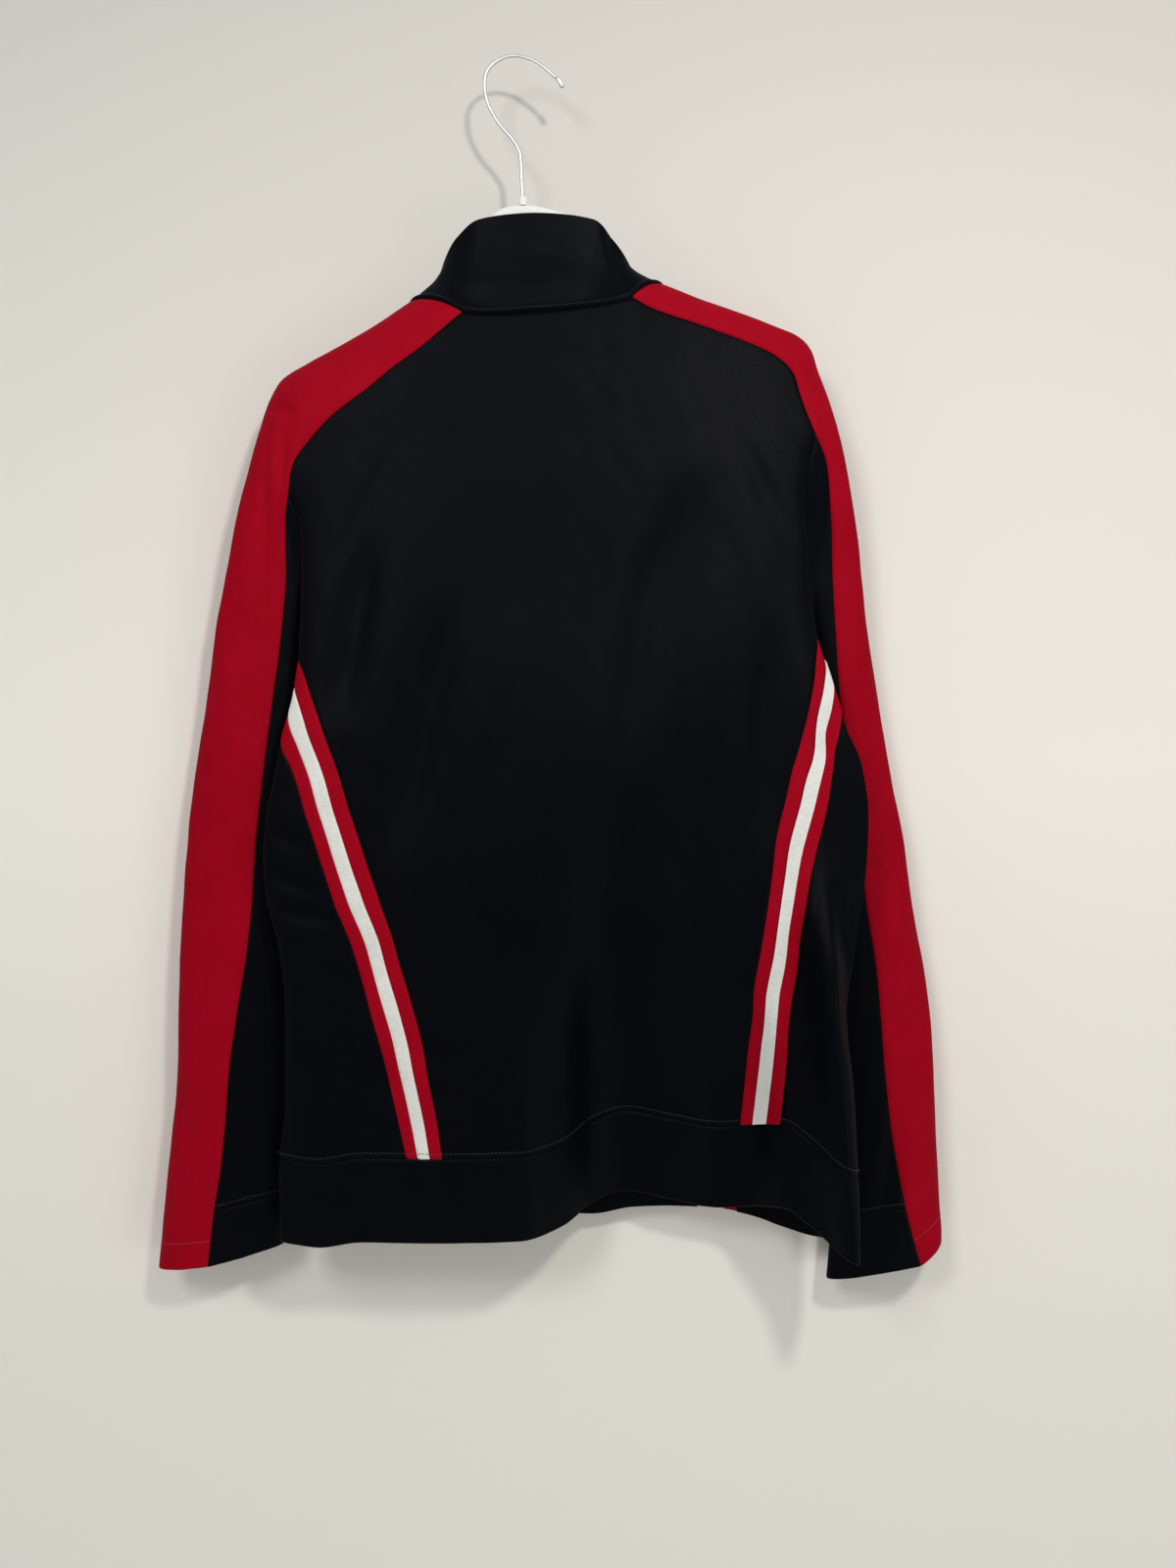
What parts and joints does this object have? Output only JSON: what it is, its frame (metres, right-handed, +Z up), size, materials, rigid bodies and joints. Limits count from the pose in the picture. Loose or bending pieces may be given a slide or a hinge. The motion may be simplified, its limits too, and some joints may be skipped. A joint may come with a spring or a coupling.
{
  "type": "zip-up track jacket on a plastic hanger",
  "caption": "Zip-up track jacket with contrast shoulder panels and curved striped side tapes, hanging by its shoulders on a plastic hanger with a wire hook.",
  "frame": {"origin": "underside of the hook's bend, where a peg, rail or screw carries the hanger", "axes": "+Z up, +X towards the wearer's left sleeve, +Y out of the jacket's back (the front with the zip faces -Y)"},
  "size_m": [0.6665, 0.115, 1.0419],
  "materials": {
    "black_fabric": "brushed polyester tricot, slight navy sheen",
    "red_fabric": "brushed polyester tricot",
    "white_fabric": "brushed polyester tricot",
    "zip_tape": "woven zip tape",
    "zip_chain": "moulded zip teeth",
    "zip_metal": "dark coated zinc",
    "hanger_plastic": "white moulded plastic",
    "hook_wire": "plated wire",
    "clear_tip": "clear plastic tip"
  },
  "bodies": {
    "jacket": {"back_panel": "black_fabric", "collar": "black_fabric", "cuff_band_left": "black_fabric", "cuff_band_right": "black_fabric", "front_panel_left": "black_fabric", "front_panel_right": "black_fabric", "hanger_body": "hanger_plastic", "hanger_boss": "hanger_plastic", "hanger_hook": "hook_wire", "hanger_hook_tip": "clear_tip", "hem_band_back": "black_fabric", "hem_band_front_left": "black_fabric", "hem_band_front_right": "black_fabric", "shoulder_panel_left": "red_fabric", "shoulder_panel_right": "red_fabric", "side_panel_left": "black_fabric", "side_panel_right": "black_fabric", "tape_back_left_inner_red": "red_fabric", "tape_back_left_outer_red": "red_fabric", "tape_back_left_white": "white_fabric", "tape_back_right_inner_red": "red_fabric", "tape_back_right_outer_red": "red_fabric", "tape_back_right_white": "white_fabric", "tape_front_left_inner_red": "red_fabric", "tape_front_left_outer_red": "red_fabric", "tape_front_left_white": "white_fabric", "tape_front_right_inner_red": "red_fabric", "tape_front_right_outer_red": "red_fabric", "tape_front_right_white": "white_fabric", "under_sleeve_left": "black_fabric", "under_sleeve_right": "black_fabric", "zip_chain": "zip_chain", "zip_slider": "zip_metal", "zip_tape_left": "zip_tape", "zip_tape_right": "zip_tape"},
    "pull_tab": {"zip_pull": "zip_metal"}
  },
  "joints": [
    {"name": "pull_tab_swing", "type": "hinge", "parent": "jacket", "child": "pull_tab", "pos_m": [-0.02, -0.0315, -0.2225], "axis": [-1, 0, 0], "range_deg": [0, 160]}
  ]
}
